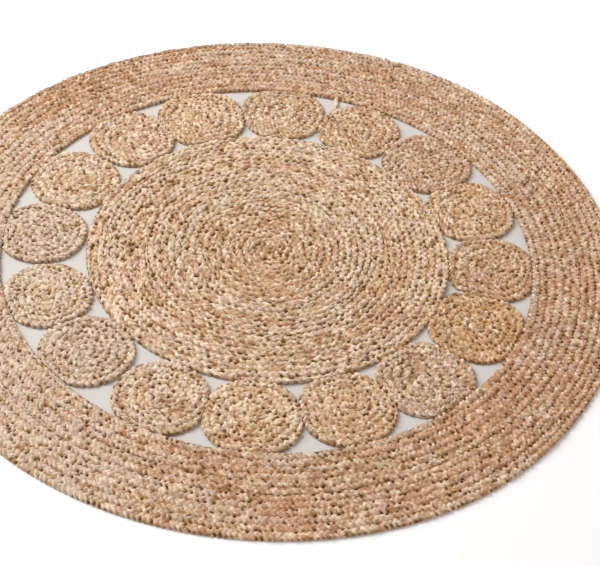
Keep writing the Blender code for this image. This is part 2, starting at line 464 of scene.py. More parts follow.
@dataclass(frozen=True)
class Plait:
    """How the three strands lie in the braid, in shares of its width and of the rug's thickness."""

    stitch: float = 0.0088  # metres along the braid, from one float to the next on the same side
    swing: float = 0.280  # of a strand to either side
    slope: float = 0.5  # of a strand against the braid, where it crosses its middle
    half_width: float = 0.240  # of a strand
    bed: float = 0.47  # the middle height of a strand's sides
    rise: float = 0.17  # from there, over one strand and under the next
    half_height: float = 0.34  # of a strand
    floor: float = 0.55  # between the strands
    deepest: float = 0.12  # below which no hollow goes

    # How uneven the strands are, from the most that chance gives to the least
    size_jitter: float = 0.40  # of a strand's width
    place_jitter: float = 0.12
    height_jitter: float = 0.30

    # Some of the hollows between two floats are deeper
    pit: float = 0.55  # than the others by this at most
    pit_share: float = 0.62  # of all hollows
    pit_length: float = 0.27  # of a stitch
    pit_width: float = 0.18
    pit_aside: float = 0.46  # from the braid's middle
    pit_inward: float = 0.26  # at most, from there back towards the middle
    pit_stray: float = 0.5  # of a stitch along the braid, between the furthest back and the furthest on

    # Where floats lie at either edge, in stitches from the start of a period, whole stitches left out
    left_float: float = 0.25
    right_float: float = 0.75
    dip: float = math.pi / 4  # radians of its swing, from a strand's lowest point to the braid's middle

    @property
    def period(self) -> float:
        """The length in which a strand swings to both sides and back."""
        return STRANDS * self.stitch

    def relief(self, along: np.ndarray, across: np.ndarray, chance: np.ndarray) -> np.ndarray:
        """The height of the braid's top.

        Args:
            along: Periods along the braid, one row for each column of points.
            across: Shares of the width from the middle, as wide as the points are across.
            chance: Numbers from 0 to 1, with the columns that Chance names.

        Returns:
            Heights as shares of the rug's thickness.
        """
        top = np.full(np.broadcast(along, across).shape, self.floor)
        for strand in range(STRANDS):
            phase = TURN * (along + strand / STRANDS)
            number = np.floor((phase + self.dip) / math.pi).astype(int) * STRANDS + strand
            row = chance[number % len(chance)]
            size, place, height = (row[..., column] for column in (Chance.SIZE, Chance.PLACE, Chance.HEIGHT))
            slant = 1.0 / np.hypot(1.0, np.cos(phase) * self.slope)
            half_width = self.half_width * (1.0 + self.size_jitter * (MEAN_CUBE - size**3))
            aside = across - self.swing * np.sin(phase) - self.place_jitter * (place - 0.5)
            body = np.sqrt(np.clip(1.0 - (aside * slant / half_width) ** 2, 0.0, 1.0))
            lift = self.bed + self.rise * np.sin(2 * phase) - self.height_jitter * height**2
            top = np.maximum(top, np.where(body > 0, lift + self.half_height * body, self.floor))
        return np.maximum(top - self.pits(along, across, chance), self.deepest)

    def pits(self, along: np.ndarray, across: np.ndarray, chance: np.ndarray) -> np.ndarray:
        """How much the hollows at both edges deepen the braid's top, with the same values as relief."""
        right = across > 0
        since_float = STRANDS * along - np.where(right, self.right_float, self.left_float)
        hollow = np.floor(since_float).astype(int)
        row = chance[(hollow * 2 + right) % len(chance)]
        size, place, pit = (row[..., column] for column in (Chance.SIZE, Chance.PLACE, Chance.PIT))
        ahead = (since_float - hollow - 0.5 - self.pit_stray * (place - 0.5)) / self.pit_length
        aside = (np.abs(across) - self.pit_aside + self.pit_inward * size) / self.pit_width
        depth = self.pit * smooth((pit - 1.0 + self.pit_share) / self.pit_share)
        return depth * np.exp(-(ahead**2) - aside**2)

    def reach(self, along: np.ndarray, side: int) -> np.ndarray:
        """How far the strands bulge at one edge of the braid, from 0 between two floats to 1 at one."""
        swings = [side * np.sin(TURN * (along + strand / STRANDS)) for strand in range(STRANDS)]
        return 2.0 * np.max(swings, axis=0) - 1.0

    def shade(self, wiring: Wiring, along: Socket, across: Socket) -> tuple[Socket, Socket]:
        """The same plait, without its unevenness, in a material's nodes.

        Args:
            wiring: The material's nodes.
            along: Periods along the braid.
            across: Shares of the width from its middle.

        Returns:
            How much higher the strand on top lies than the next one, and a vector: how far aside of its
            middle, the number of its float, and the number of the strand.
        """
        top, below, place = None, 0.0, None
        for strand in range(STRANDS):
            phase = wiring.math("MULTIPLY", wiring.math("ADD", along, strand / STRANDS), TURN)
            swing = wiring.math("MULTIPLY", wiring.math("SINE", phase), self.swing)
            slope = wiring.math("MULTIPLY", wiring.math("COSINE", phase), self.slope)
            slant = wiring.math("INVERSE_SQRT", wiring.math("MULTIPLY_ADD", slope, slope, 1.0))
            aside = wiring.math("MULTIPLY", wiring.math("SUBTRACT", across, swing), slant)
            share = wiring.math("DIVIDE", aside, self.half_width)
            body = wiring.math("SUBTRACT", 1.0, wiring.math("MULTIPLY", share, share), clamp=True)
            body = wiring.math("SQRT", body)
            wave = wiring.math("SINE", wiring.math("MULTIPLY", phase, 2.0))
            height = wiring.math("MULTIPLY_ADD", body, self.half_height, self.bed)
            height = wiring.math("MULTIPLY_ADD", wave, self.rise, height)
            height = wiring.math("MULTIPLY", height, wiring.math("GREATER_THAN", body, 0.0))
            number = wiring.math("DIVIDE", wiring.math("ADD", phase, self.dip), math.pi)
            here = wiring.vector(aside, wiring.math("FLOOR", number), float(strand))
            if top is None:
                top, place = height, here
                continue
            over = wiring.math("GREATER_THAN", height, top)
            below = wiring.math("MAXIMUM", wiring.math("MINIMUM", height, top), below)
            top = wiring.math("MAXIMUM", height, top)
            place = wiring.mix(MixKind.VECTOR, over, place, here)
        return wiring.math("SUBTRACT", top, wiring.math("MAXIMUM", below, self.floor)), place


class JuteSurface:
    """Plaited jute: each strand's own tone, fibre streaks along it, patches, and painted shade in its creases
    and hollows.
    """

    def __init__(self, name: str, finish: JuteFinish, plait: Plait, seed: float) -> None:
        """Starts the material with the braid, raised, warmth and seam values that a Shell gives its mesh.

        Args:
            name: The material's name.
            finish: The batch of jute.
            plait: How the strands lie.
            seed: Any number, so that two pieces don't have the same streaks.
        """
        self.material = bpy.data.materials.new(name)
        self.material.use_nodes = True
        self.wiring = Wiring(self.material.node_tree)
        self.finish, self.grain, self.seed = finish, JuteGrain(), seed
        self.along, across, self.tone = self.wiring.parts(self.value("braid", "Vector"))
        self.raised, self.warmth, self.seam = (self.value(key, "Fac") for key in ("raised", "warmth", "seam"))
        self.clear, place = plait.shade(self.wiring, self.along, across)
        aside, self.number, self.strand = self.wiring.parts(place)
        self.streaks = self.drawn(self.grain.streaks, aside, self.number)
        self.bundles = self.drawn(self.grain.bundles, aside, self.number)
        self.place = self.wiring.node("ShaderNodeTexCoord").outputs["Object"]

    def value(self, name: str, output: str) -> Socket:
        """One of the values that a Shell gives its mesh."""
        return self.wiring.node("ShaderNodeAttribute", attribute_name=name).outputs[output]

    def drawn(self, noise: DrawnNoise, across: Socket, layer: Input) -> Socket:
        """Noise drawn out along the braid, other noise for each layer."""
        x = self.wiring.math("MULTIPLY", self.along, noise.along)
        y = self.wiring.math("MULTIPLY", across, noise.across)
        place = self.wiring.vector(x, y, self.wiring.math("ADD", layer, self.seed + noise.seed))
        return self.wiring.noise(place, Noise(1.0, noise.detail))

    def paleness(self) -> Socket:
        """How pale the fibre is, from -1 for the deepest tone to 1 for the palest."""
        wiring, grain = self.wiring, self.grain
        floats = wiring.chance(wiring.vector(self.number, self.strand, self.seed))
        run = self.drawn(grain.run, self.strand, 0.0)
        paleness = self.tone
        for part in (
            wiring.span(floats, grain.float_tone),
            wiring.math("MULTIPLY", wiring.math("POWER", floats, grain.rare_power), grain.rare_tone),
            wiring.span(run, grain.run_tone),
            wiring.span(wiring.noise(self.place, grain.mottle), grain.mottle_tone),
        ):
            paleness = wiring.math("ADD", paleness, part)
        return paleness

    def fibre(self) -> Socket:
        """The fibre's colour, whose hue changes from place to place as the jute was retted and dried."""
        wiring, grain, finish = self.wiring, self.grain, self.finish
        paleness = self.paleness()
        depth = wiring.math("MULTIPLY", wiring.math("MINIMUM", paleness, 0.0), -1.0, clamp=True)
        hue = wiring.noise(self.place, grain.hue)
        patches = wiring.noise(self.place, grain.patches)
        redness = wiring.math("MULTIPLY_ADD", self.warmth, grain.patch_warmth, patches)
        specks = wiring.noise(self.place, grain.specks)
        colour = finish.middle
        for share, tone in (
            (wiring.math("MAXIMUM", paleness, 0.0, clamp=True), finish.pale),
            (depth, finish.deep),
            (wiring.span(hue, grain.straw), finish.straw),
            (wiring.span(hue, grain.rosy), finish.rosy),
            (wiring.span(redness, grain.warm), finish.warm),
            (wiring.span(self.warmth, grain.grey), finish.grey),
            (wiring.span(self.streaks, grain.deep_streaks), finish.deep),
            (wiring.span(self.bundles, grain.pale_bundles), finish.pale),
            (wiring.span(specks, grain.pale_specks), finish.pale),
            (wiring.span(specks, grain.deep_specks), finish.deep),
        ):
            colour = wiring.colour(share, colour, tone)
        return colour

    def darkened(self, colour: Socket) -> Socket:
        """A colour with painted shade where strands meet and in the hollows, much in some creases and hardly
        any in others.
        """
        wiring, grain, finish = self.wiring, self.grain, self.finish
        floats = wiring.chance(wiring.vector(self.number, self.strand, self.seed + grain.shade_seed))
        crease_shade = wiring.math("POWER", floats, grain.shade_power)
        crease_shade = wiring.math("MULTIPLY_ADD", crease_shade, grain.float_shade, grain.least_shade)
        spots = wiring.span(wiring.noise(self.place, grain.spots), grain.spot_shade)
        crease_shade = wiring.math("ADD", crease_shade, spots, clamp=True)
        off_seam = wiring.math("SUBTRACT", 1.0, self.seam)
        crease = wiring.math("MULTIPLY", wiring.span(self.clear, grain.crease), off_seam)
        sunk = wiring.math("MAXIMUM", crease_shade, grain.least_sunk)
        sunk = wiring.math("MULTIPLY", wiring.span(self.raised, grain.sunk), sunk)
        # Painted shade: the deep tone where the braid lies low, and the hollow colour in its creases and
        # lowest hollows
        for share, tone in (
            (sunk, finish.deep),
            (wiring.math("MULTIPLY", crease, crease_shade), finish.hollow),
            (wiring.span(self.raised, grain.hollow), finish.hollow),
        ):
            colour = wiring.colour(share, colour, tone)
        return colour

    def dress(self) -> bpy.types.Material:
        """Finishes the material with the fibre's colour, its shine and its relief."""
        tree, grain, finish = self.material.node_tree, self.grain, self.finish
        shader = tree.nodes["Principled BSDF"]
        shader.inputs["Roughness"].default_value = finish.roughness
        shader.inputs["Specular IOR Level"].default_value = finish.specular
        shader.inputs["Sheen Weight"].default_value = finish.sheen
        shader.inputs["Sheen Roughness"].default_value = finish.sheen_roughness
        tree.links.new(self.darkened(self.fibre()), shader.inputs["Base Color"])
        height = self.wiring.math("MULTIPLY_ADD", self.streaks, grain.streak_relief, self.bundles)
        inputs = {"Height": height, "Distance": grain.relief, "Strength": grain.relief_strength}
        tree.links.new(self.wiring.node("ShaderNodeBump", inputs).outputs[0], shader.inputs["Normal"])
        return self.material


# ---------------------------------------------------------------- the braid's mesh


@dataclass
class Line:
    """A line of points in a shell, or a whole sheet of them, column by column."""

    ids: np.ndarray
    at: np.ndarray  # turns, rising along a line
    radius: np.ndarray
    angle: np.ndarray
    height: np.ndarray
    braid: np.ndarray  # periods along it, widths across it, and paleness
    warmth: np.ndarray

    def picked(self, column: np.ndarray, row: np.ndarray, at: np.ndarray) -> "Line":
        """A line through some of a sheet's points."""
        values = (self.ids, self.radius, self.angle, self.height, self.braid, self.warmth)
        ids, *others = (value[column, row] for value in values)
        return Line(ids, at, *others)


class Shell:
    """The points and faces of one closed piece, gathered layer by layer."""

    def __init__(self) -> None:
        """Starts with nothing in it."""
        self.count = 0
        self.values: dict[str, list[np.ndarray]] = {
            name: [] for name in ("place", "braid", "raised", "warmth", "top", "under")
        }
        self.faces: list[tuple[np.ndarray, str, bool]] = []

    def add_points(self, **values: np.ndarray) -> np.ndarray:
        """Adds points.

        Args:
            **values: For each point its place, braid, raised and warmth values, and top and under map places.

        Returns:
            The numbers of the new points, in the shape they came in.
        """
        added = values["raised"].size
        for name, value in values.items():
            self.values[name].append(value.reshape(added, -1))
        ids = np.arange(self.count, self.count + added).reshape(values["raised"].shape)
        self.count += added
        return ids

    def add_faces(self, corners: np.ndarray, chart: str, seam: bool = False, flip: bool = False) -> None:
        """Adds faces that all have as many corners, mapped by the top or the under chart."""
        self.faces.append((corners[:, ::-1] if flip else corners, chart, seam))

    def build(self, name: str, material: bpy.types.Material) -> bpy.types.Object:
        """Makes the mesh object, with its map and the values that the material reads."""
        values = {key: np.concatenate(parts) for key, parts in self.values.items()}
        corners = np.concatenate([faces.ravel() for faces, _, _ in self.faces])
        sizes = np.concatenate([np.full(len(faces), faces.shape[1]) for faces, _, _ in self.faces])
        chart = np.concatenate([values[kind][faces.ravel()] for faces, kind, _ in self.faces])
        seams = np.concatenate([np.full(len(faces), float(seam)) for faces, _, seam in self.faces])
        mesh = bpy.data.meshes.new(name)
        mesh.vertices.add(self.count)
        mesh.vertices.foreach_set("co", values["place"].astype(np.float32).ravel())
        mesh.loops.add(len(corners))
        mesh.loops.foreach_set("vertex_index", corners.astype(np.int32))
        mesh.polygons.add(len(sizes))
        mesh.polygons.foreach_set("loop_start", (np.cumsum(sizes) - sizes).astype(np.int32))
        mesh.update(calc_edges=True)
        braid = mesh.attributes.new("braid", "FLOAT_VECTOR", "POINT")
        braid.data.foreach_set("vector", values["braid"].ravel())
        for key in ("raised", "warmth"):
            mesh.attributes.new(key, "FLOAT", "POINT").data.foreach_set("value", values[key].ravel())
        mesh.attributes.new("seam", "FLOAT", "FACE").data.foreach_set("value", seams)
        mesh.uv_layers.new(name=BAKE_MAP).uv.foreach_set("vector", chart.ravel())
        mesh.materials.append(material)
        mesh.shade_smooth()
        piece = bpy.data.objects.new(name, mesh)
        bpy.context.scene.collection.objects.link(piece)
        return piece


@dataclass
class Outline:
    """The outline that a coil was pressed or drawn to."""

    centre: np.ndarray
    reach: np.ndarray  # radii at even steps of the angle
    free: float  # the radius before pressing
    first_angle: float = 0.0
    still: float = 0.0  # the radius within which nothing is pressed

    @classmethod
    def of_node(cls, name: str) -> "Outline":
        """Measures a packed medallion: its middle, and the radii of its widest ring of corners."""
        points = node_points(name)[:, :2]
        centre = points[np.argmin(np.linalg.norm(points - points.mean(axis=0), axis=1))]
        offset = points - centre
        radius, angle = np.hypot(*offset.T), np.arctan2(offset[:, 1], offset[:, 0])
        rim = radius > RIM_CORNERS * radius.max()
        first = angle[np.argmax(radius)]
        sides = int(np.sum(np.diff(np.sort(angle[rim])) > LEAST_SIDE)) + 1
        step = TURN / sides
        slots = np.round((angle[rim] - first) / step).astype(int) % sides
        reach = np.zeros(sides)
        np.maximum.at(reach, slots, radius[rim])
        return cls(centre, reach, float(reach.max()), float(first))

    def at(self, angle: np.ndarray) -> np.ndarray:
        """The outline's radius at an angle, on a smooth closed curve through the measured ones."""
        count = len(self.reach)
        place = np.mod(angle - self.first_angle, TURN) / TURN * count
        whole = np.floor(place).astype(int)
        part = place - whole
        before, here, there, after = (self.reach[(whole + k) % count] for k in (-1, 0, 1, 2))
        bend = 2 * before - 5 * here + 4 * there - after
        twist = 3 * here - before - 3 * there + after
        return here + 0.5 * part * (there - before + bend * part + twist * part**2)

    @classmethod
    def circle(cls, radius: float) -> "Outline":
        """A circle about the rug's middle."""
        return cls(np.zeros(2), np.full(1, radius), radius)

    def apart(self, places: np.ndarray) -> np.ndarray:
        """How far places lie from the outline, in metres."""
        offset = places[:, :2] - self.centre
        return np.abs(np.hypot(*offset.T) - self.at(np.arctan2(offset[:, 1], offset[:, 0])))

    def press(self, radius: np.ndarray, angle: np.ndarray) -> np.ndarray:
        """Moves a radius towards the outline, the outer rounds most."""
        share = np.clip((radius - self.still) / (self.free - self.still), 0.0, 1.0) ** 2
        return radius * (1.0 + (self.at(angle) / self.free - 1.0) * share)


class ToneAt(NamedTuple):
    """How the jute differs from its batch at one place of a coil."""

    place: float  # metres from the rug's middle, or degrees round it
    paleness: float  # from -1, deepest, to 1, palest
    warmth: float  # from -1, greyest, to 1, reddest


class Run(Enum):
    """Which way a coil's places for tones run."""

    OUTWARD = "outward"
    ROUND = "round"


@dataclass
class Coil:
    """One length of braid wound flat, round beside round, as a closed shell with a flat underside."""

    name: str
    inner: float  # radius in metres, 0 for a disc
    outer: float
    rounds: int
    first_angle: float  # radians, where the first round begins
    seed: int  # of its chances
    step: float = TOP_STEP
    outline: Outline | None = None  # that it is pressed to, if that isn't a circle
    inner_bulge: float = 0.0018  # metres, of the strands at the rim
    outer_bulge: float = 0.0018
    tones: tuple[ToneAt, ...] = (ToneAt(0.0, 0.0, 0.0),)
    tones_run: Run = Run.OUTWARD
    plait: Plait = Plait()
    beside: tuple[Outline, ...] = ()  # of the pieces that this one is sewn to
    chance: np.ndarray = field(init=False)
    waves: np.ndarray = field(init=False)

    def __post_init__(self) -> None:
        """Draws the chances that make the coil uneven, the same at each run."""
        draw = np.random.default_rng(self.seed)
        self.chance = draw.random((CHANCES, len(Chance)))
        self.waves = draw.random((2, max(LOBES) + 1))

    @property
    def pitch(self) -> float:
        """The width of the braid."""
        return (self.outer - self.inner) / self.rounds

    def between(self, turns: np.ndarray) -> np.ndarray:
        """The radius of the line between one round and the next, after so many turns."""
        whole = np.floor(turns)
        stepped = whole + smooth((turns - whole - 1.0 + STEP_OVER) / STEP_OVER)
        spiral = turns - (1.0 - STEP_OVER) / 2
        if self.rounds > SHORT_COIL:
            from_end = np.minimum(turns, self.rounds - turns) - 1.0
            stepped = spiral + (stepped - spiral) * (1.0 - smooth(from_end / SETTLING_ROUNDS))
        window = np.sin(math.pi * np.clip(turns / self.rounds, 0.0, 1.0))
        wobble = sum(
            np.sin(TURN * (lobes * turns + self.waves[0, lobes]) + LOBE_SHIFT * turns * self.waves[1, lobes])
            for lobes in LOBES
        )
        calm = smooth(np.minimum(turns - 1.0 + STEP_OVER, self.rounds - turns) / CALM_TURNS)
        wound = TURN * turns * (self.inner + 0.5 * self.pitch * turns)
        edge = calm * self.uneven(wound, EDGE, Chance.EDGE)
        radius = self.inner + self.pitch * (stepped + 0.5 * WOBBLE * window * wobble + edge)
        least = LEAST_WIDTH * self.pitch
        return np.clip(radius, self.inner + least, self.outer - least)

    def edges(self, turns: np.ndarray) -> tuple[np.ndarray, np.ndarray]:
        """The radii of the braid's inner and outer edge after so many turns."""
        inner = np.where(turns < 1.0 - STEP_OVER, self.inner, self.between(turns))
        outer = np.where(turns > self.rounds - 1.0, self.outer, self.between(turns + 1.0))
        return inner, outer

    def columns(self, step: float) -> tuple[np.ndarray, np.ndarray]:
        """Turns at even lengths of braid, and the length wound up to each."""
        fine = np.linspace(-STEP_OVER, self.rounds, FINE_STEPS * self.rounds + 1)
        middle = sum(self.edges(fine)) / 2
        length = np.concatenate([[0.0], np.cumsum((middle[1:] + middle[:-1]) / 2 * np.diff(fine) * TURN)])
        count = max(int(length[-1] / step), LEAST_COLUMNS)
        turns = np.interp(np.linspace(0.0, length[-1], count + 1), length, fine)
        for special in (1.0 - STEP_OVER, self.rounds - 1.0):
            turns[np.argmin(np.abs(turns - special))] = special
        return turns, np.interp(turns, fine, length)

    def uneven(self, length: np.ndarray, swells: tuple[Swell, ...], chance: Chance) -> np.ndarray:
        """How far something strays after a length of braid, because the work is done by hand."""
        numbers = self.chance[:, chance]
        return sum(
            swell.size * meander(length / swell.length + APART * k, numbers) for k, swell in enumerate(swells)
        )

    def tone(
        self, radius: np.ndarray, angle: np.ndarray, length: np.ndarray
    ) -> tuple[np.ndarray, np.ndarray]:
        """The jute's paleness and warmth at places along the braid."""
        places, palenesses, warmths = np.array(self.tones).T
        if self.tones_run is Run.OUTWARD:
            picked = [np.interp(radius, places, values) for values in (palenesses, warmths)]
        else:
            degrees = np.degrees(angle)
            picked = [np.interp(degrees, places, values, period=360.0) for values in (palenesses, warmths)]
        paleness = picked[0] + self.uneven(length, BLOTCH, Chance.PALENESS)
        return paleness, picked[1] + self.uneven(length, BLUSH, Chance.WARMTH)

    def place(self, radius: np.ndarray, angle: np.ndarray, height: np.ndarray) -> np.ndarray:
        """Points in the rug's frame from radii and angles about the coil's own middle."""
        middle = np.zeros(2)
        if self.outline is not None:
            radius, middle = self.outline.press(radius, angle), self.outline.centre
        x, y = middle[0] + radius * np.cos(angle), middle[1] + radius * np.sin(angle)
        return np.stack(np.broadcast_arrays(x, y, height), axis=-1)

    def chart(self, radius: np.ndarray, angle: np.ndarray, under: bool) -> np.ndarray:
        """Places on the bake's map: seen from above, with the underside in the hole or the corner."""
        room = RIM_ROOM * THICKNESS
        part, whole = RING_MAP, self.outer + room
        if self.inner == 0:
            part, whole = (DISC_UNDER_MAP, self.outer) if under else (DISC_TOP_MAP, whole)
        size = part.reach / whole
        if self.inner > 0 and under:
            size *= (self.inner - room) / whole
        places = [part.middle + radius * size * turned for turned in (np.cos(angle), np.sin(angle))]
        return np.stack(np.broadcast_arrays(*places), axis=-1)

    def add(
        self, shell: Shell, line: Line, raised: np.ndarray | float, unfolded: np.ndarray | None = None
    ) -> np.ndarray:
        """Adds points to a shell.

        Args:
            shell: What they are added to.
            line: The points.
            raised: How high they lie as the material sees it.
            unfolded: Their radii on the bake's map, where those are not their own.

        Returns:
            The numbers of the new points.
        """
        shape = line.braid.shape[:-1]
        values = (line.radius, line.angle, line.height, raised, line.warmth)
        radius, angle, height, raised, warmth = (np.broadcast_to(value, shape) for value in values)
        return shell.add_points(
            place=self.place(radius, angle, height),
            braid=line.braid,
            raised=raised,
            warmth=warmth,
            top=self.chart(radius if unfolded is None else unfolded, angle, False),
            under=self.chart(radius, angle, True),
        )

    def layer(self, shell: Shell, step: float, rows: tuple[float, ...], on_top: bool) -> tuple[Line, Line]:
        """Lays the whole coil once, as the plaited top or as the flat underside.

        Args:
            shell: What the layer is added to.
            step: Length between columns of points along the braid.
            rows: Places of the points across the braid.
            on_top: Whether this is the top.

        Returns:
            The closed lines of points at the inner and the outer rim, both anticlockwise.
        """
        turns, length = self.columns(step)
        inner, outer = self.edges(turns)
        angle = self.first_angle + TURN * turns
        paleness, warmth = self.tone((inner + outer) / 2, angle, length)
        along = (length + self.uneven(length, CREEP, Chance.CREEP)) / self.plait.period
        drift = self.uneven(length, DRIFT, Chance.DRIFT)
        breadth = 1.0 + self.uneven(length, BREADTH, Chance.BREADTH)
        inner, outer, angle, paleness, warmth, along, drift, breadth = (
            value[:, None] for value in (inner, outer, angle, paleness, warmth, along, drift, breadth)
        )
        share = np.array(rows)[None, :]
        across = (share + drift) * breadth
        radius = inner + (share + 0.5) * (outer - inner)
        height, raised = np.zeros_like(radius), CLEAR_OF_SHADE
        if on_top:
            fullness = END_RELIEF + (1.0 - END_RELIEF) * smooth((outer - inner) / self.pitch / FULL_FROM)
            raised = self.plait.relief(along, across, self.chance)
            raised = self.plait.floor + (raised - self.plait.floor) * fullness
            height = raised * THICKNESS
        braid = np.stack(np.broadcast_arrays(along, across, paleness), axis=-1)
        angle, warmth = (np.broadcast_to(value, radius.shape) for value in (angle, warmth))
        sheet = Line(np.empty(0), turns, radius, angle, height, braid, warmth)
        ids = sheet.ids = self.add(shell, sheet, raised)
        last, edge = len(turns) - 1, len(rows) - 1

        quads = np.stack([ids[:-1, :-1], ids[:-1, 1:], ids[1:, 1:], ids[1:, :-1]], axis=-1).reshape(-1, 4)
        chart = "top" if on_top else "under"
        shell.add_faces(quads, chart, flip=not on_top)
        first_next = int(np.argmin(np.abs(turns - (1.0 - STEP_OVER))))
        last_inside = int(np.argmin(np.abs(turns - (self.rounds - 1.0))))
        this_round = ids[: last_inside + 1, edge], turns[: last_inside + 1]
        next_round = ids[first_next:, 0], turns[first_next:] - 1.0
        shell.add_faces(lace(*this_round, *next_round), chart, seam=True, flip=on_top)

        tip = np.arange(edge)
        inner_line = sheet.picked(
            np.concatenate([np.arange(first_next + 1), np.zeros(edge, int)]),
            np.concatenate([np.zeros(first_next + 1, int), edge - tip]),
            np.concatenate([turns[: first_next + 1], turns[first_next] + TIP_ORDER * (tip + 1) / edge]),
        )
        outer_line = sheet.picked(
            np.concatenate([np.arange(last_inside, last + 1), np.full(edge, last)]),
            np.concatenate([np.full(last - last_inside + 1, edge), edge - 1 - tip]),
            np.concatenate([turns[last_inside:], turns[last] + TIP_ORDER * (tip + 1) / edge]),
        )
        return inner_line, outer_line

    def sewn(self, places: np.ndarray) -> np.ndarray:
        """How firmly places on the rim are sewn to another piece: 0 where it is free and 1 at a seam."""
        apart = np.full(len(places), 1.0)
        for outline in self.beside:
            apart = np.minimum(apart, outline.apart(places))
        return 1.0 - smooth((apart - SEWN_WITHIN) / SEWN_FADE)

    def rim(self, shell: Shell, top: Line, under: Line, side: int) -> None:
        """Rounds the rim down from the top's edge to the foot and joins it to the underside.

        Args:
            shell: What the rim is added to.
            top: The closed line at the top's edge.
            under: The closed line at the underside's edge.
            side: 1 for the outer rim and -1 for the rim of the open middle.
        """
        reach = self.plait.reach(top.braid[:, 0], side)
        bulge = (self.outer_bulge if side > 0 else self.inner_bulge) * (reach - RIM_MIDDLE)
        strip = (0.5 - TOP_ROWS[-1]) * self.pitch
        upper = top
        sewn = self.sewn(self.place(top.radius + side * strip, top.angle, top.height))
        for step in RIM_STEPS:
            out = step.out * strip + step.bulge * bulge
            share = step.free_height + (step.sewn_height - step.free_height) * sewn
            height = top.height * share
            # Painted shade on the rim: dark in the hollows between its bulges and towards its foot, and as on
            # the top where it is sewn to another piece
            raised = RIM_RAISED + RIM_BULGE_RAISED * smooth(reach / RIM_MIDDLE)
            raised = raised - RIM_FOOT_SUNK * (1.0 - share)
            raised = raised + (top.height / THICKNESS - raised) * sewn
            drop = np.minimum(top.height - height + np.abs(out), RIM_ON_MAP * THICKNESS)
            lower = Line(top.ids, top.at, top.radius + side * out, top.angle, height, top.braid, top.warmth)
            lower.ids = self.add(shell, lower, raised, top.radius + side * drop)
            ring = [upper.ids, lower.ids, np.roll(lower.ids, -1), np.roll(upper.ids, -1)]
            shell.add_faces(np.stack(ring, axis=-1), "top", flip=side < 0)
            upper = lower
        after = max(top.at[-1], under.at[-1]) + TIP_ORDER
        closed = [(np.append(one.ids, one.ids[0]), np.append(one.at, after)) for one in (under, upper)]
        inside, outside = closed if side > 0 else closed[::-1]
        shell.add_faces(lace(*inside, *outside), "under")

    def close_middle(self, shell: Shell, line: Line, on_top: bool) -> None:
        """Closes the small ring of points at a disc's middle with a fan."""
        zero, height = np.zeros(1), np.full(1, np.mean(line.height))
        centre = Line(line.ids[:1], line.at[:1], zero, zero, height, line.braid[:1], line.warmth[:1])
        middle = self.add(shell, centre, MIDDLE_RAISED if on_top else CLEAR_OF_SHADE)
        fan = np.stack([np.full(len(line.ids), middle[0]), line.ids, np.roll(line.ids, -1)], axis=-1)
        shell.add_faces(fan, "top" if on_top else "under", flip=not on_top)

    def wind(self, finish: JuteFinish) -> bpy.types.Object:
        """Builds the coil and dresses it in a batch of jute."""
        shell = Shell()
        top_inner, top_outer = self.layer(shell, self.step, TOP_ROWS, True)
        under_inner, under_outer = self.layer(shell, UNDER_STEP, UNDER_ROWS, False)
        self.rim(shell, top_outer, under_outer, 1)
        if self.inner > 0:
            self.rim(shell, top_inner, under_inner, -1)
        else:
            self.close_middle(shell, top_inner, True)
            self.close_middle(shell, under_inner, False)
        surface = JuteSurface(self.name + "_jute", finish, self.plait, float(self.seed))
        return shell.build(self.name, surface.dress())


def medallion_outlines() -> tuple[Outline, ...]:
    """The outlines of all the medallions, as packed."""
    names = sorted(name for name in frame["nodes"] if name.startswith("medallion"))
    return tuple(Outline.of_node(name) for name in names)


def settle(
    piece: bpy.types.Object, node: str
) -> None:
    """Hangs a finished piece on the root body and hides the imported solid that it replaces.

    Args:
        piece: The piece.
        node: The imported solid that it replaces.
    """
    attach(piece, "root")
    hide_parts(node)
    LOG.info("%s: %d points", piece.name, len(piece.data.vertices))


# ---------------------------------------------------------------- sub-assemblies


@dataclass(frozen=True)
class CentreDisc:
    """The middle of the rug, wound from two lengths of braid, the second round the first."""

    node: str = "centre_disc"
    rounds: int = 27
    first_rounds: int = 18
    tone: JuteTone = JuteTone.DISC
    plait: Plait = Plait(stitch=0.0118, pit=0.48, pit_share=0.72, pit_length=0.34, pit_width=0.29)
    tones: tuple[ToneAt, ...] = (  # from the middle outwards
        ToneAt(0.000, -0.95, 0.3), ToneAt(0.035, -0.56, 0.2), ToneAt(0.056, -0.14, 0.1),
        ToneAt(0.095, -0.32, 0.1), ToneAt(0.122, 0.00, -0.3), ToneAt(0.145, 0.37, -0.7),
        ToneAt(0.167, 0.01, -0.4), ToneAt(0.190, 0.30, -0.2), ToneAt(0.213, 0.07, 0.0),
        ToneAt(0.234, -0.07, 0.1), ToneAt(0.257, 0.52, -0.4), ToneAt(0.300, 0.27, -0.2),
    )

    def build(self) -> None:
        """Winds both lengths and settles them in the frame."""
        radius = float(node_radii(self.node).max())
        join = radius * self.first_rounds / self.rounds
        finish = self.tone.value
        last_rounds = self.rounds - self.first_rounds
        first = Coil(
            "centre_disc_inner", 0.0, join, self.first_rounds, first_angle=0.6, seed=11,
            outer_bulge=JOIN_BULGE, tones=self.tones, plait=self.plait, beside=(Outline.circle(join),),
        )
        second = Coil(
            "centre_disc_outer", join, radius, last_rounds, first_angle=3.9, seed=12,
            inner_bulge=JOIN_BULGE, tones=self.tones, plait=self.plait,
            beside=(Outline.circle(join), *medallion_outlines()),
        )
        settle(first.wind(finish), self.node)
        settle(second.wind(finish), self.node)


